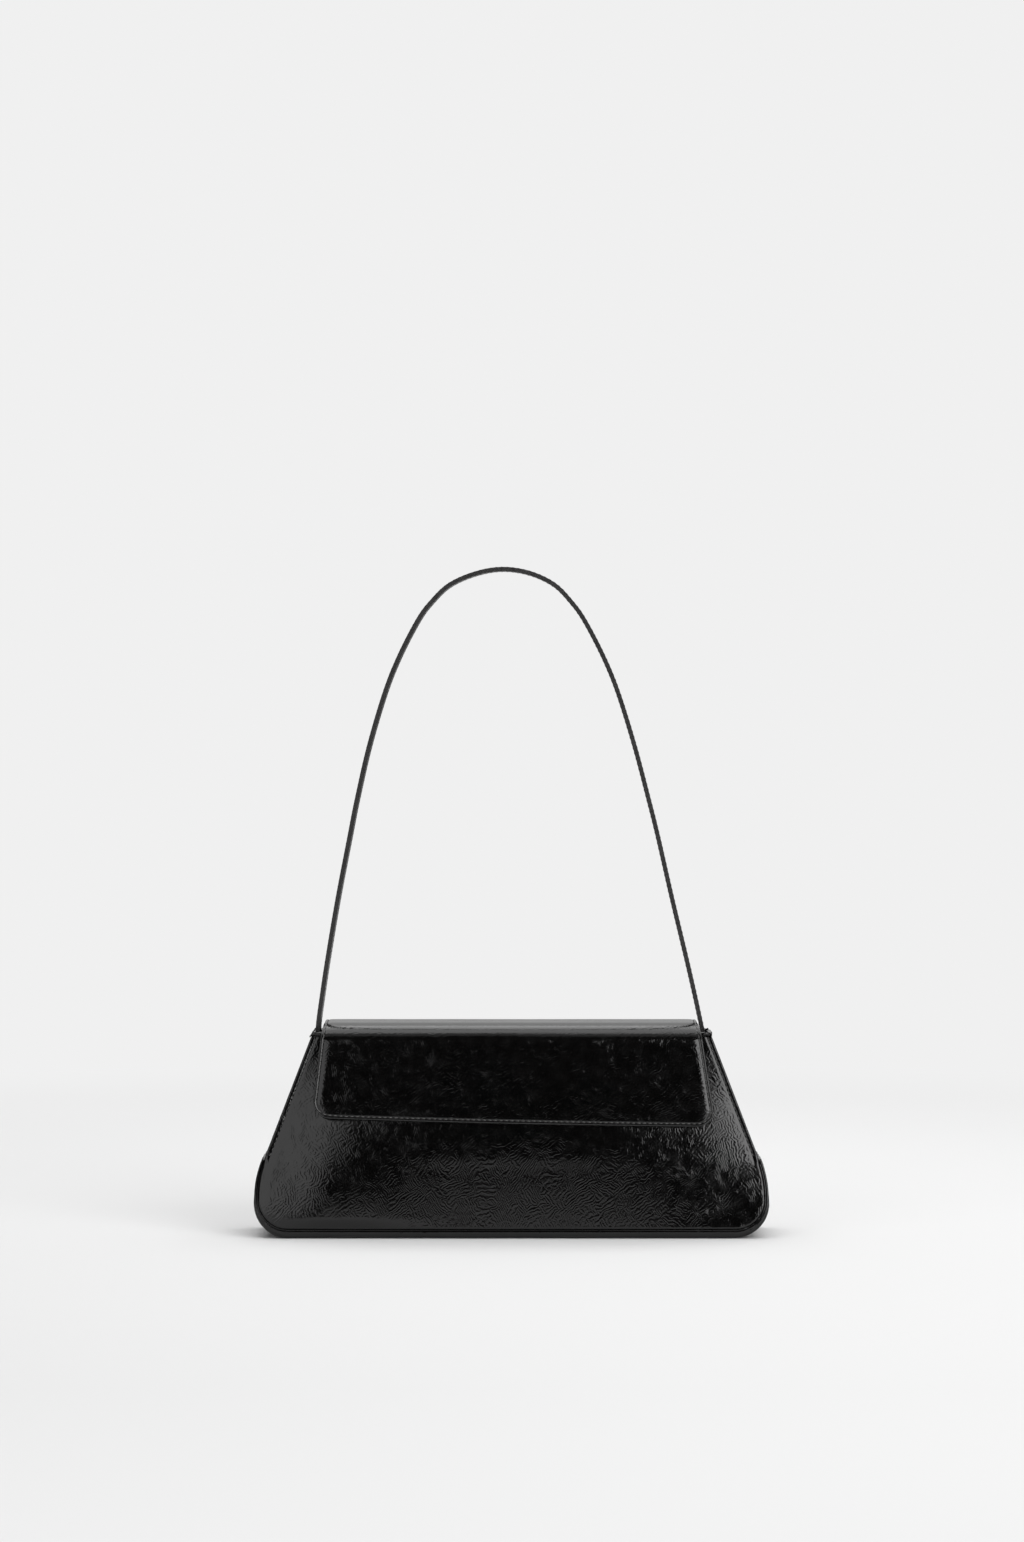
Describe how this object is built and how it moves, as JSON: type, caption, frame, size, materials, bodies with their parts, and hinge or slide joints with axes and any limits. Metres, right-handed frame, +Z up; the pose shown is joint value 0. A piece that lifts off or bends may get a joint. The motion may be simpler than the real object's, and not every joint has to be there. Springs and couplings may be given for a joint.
{
  "type": "shoulder bag",
  "caption": "Small trapezoid shoulder bag with a fold-over flap closed by a magnetic snap and one slim strap in a tall arch.",
  "frame": {"origin": "middle of the flat base, on the surface that the bag stands on", "axes": "+Z up, +X along the bag's length to the right as seen from the front, front and flap towards -Y"},
  "size_m": [0.2806, 0.0598, 0.3662],
  "materials": {
    "body_leather": "glossy crinkled leather",
    "strap_leather": "glossy leather with painted edges",
    "inner_leather": "smooth matt leather",
    "lining": "fine woven cloth",
    "board": "fibre board",
    "snap_metal": "satin plated",
    "magnet": "plated magnet"
  },
  "bodies": {
    "bag": {"front_panel": "body_leather", "back_panel": "body_leather", "base_strip": "body_leather", "left_gusset": "body_leather", "right_gusset": "body_leather", "front_hem": "body_leather", "back_hem": "body_leather", "left_gusset_hem": "body_leather", "right_gusset_hem": "body_leather", "flap_yoke": "body_leather", "front_facing": "inner_leather", "back_facing": "inner_leather", "front_lining": "lining", "back_lining": "lining", "base_lining": "lining", "left_side_lining": "lining", "right_side_lining": "lining", "slip_pocket": "lining", "front_stiffener": "board", "back_stiffener": "board", "base_board": "board", "snap_socket": "snap_metal", "snap_magnet": "magnet", "socket_washer": "snap_metal", "left_strap_tail": "strap_leather", "right_strap_tail": "strap_leather"},
    "flap": {"flap_leather": "body_leather", "flap_lining": "inner_leather", "flap_stiffener": "board", "snap_stud": "snap_metal", "stud_washer": "snap_metal"},
    "strap": {"strap_arch_outer": "strap_leather", "strap_arch_inner": "strap_leather", "strap_left_leg_outer": "strap_leather", "strap_left_leg_inner": "strap_leather", "strap_right_leg_outer": "strap_leather", "strap_right_leg_inner": "strap_leather"}
  },
  "joints": [
    {"name": "flap_hinge", "type": "hinge", "parent": "bag", "child": "flap", "pos_m": [0, 0.01612, 0.1154], "axis": [-1, 0, 0], "range_deg": [0, 180]},
    {"name": "strap_swing", "type": "hinge", "parent": "bag", "child": "strap", "pos_m": [0, 0, 0.1253], "axis": [1, 0, 0], "range_deg": [-92, 92], "deforming": ["strap_left_leg_outer", "strap_left_leg_inner", "strap_right_leg_outer", "strap_right_leg_inner"]}
  ]
}
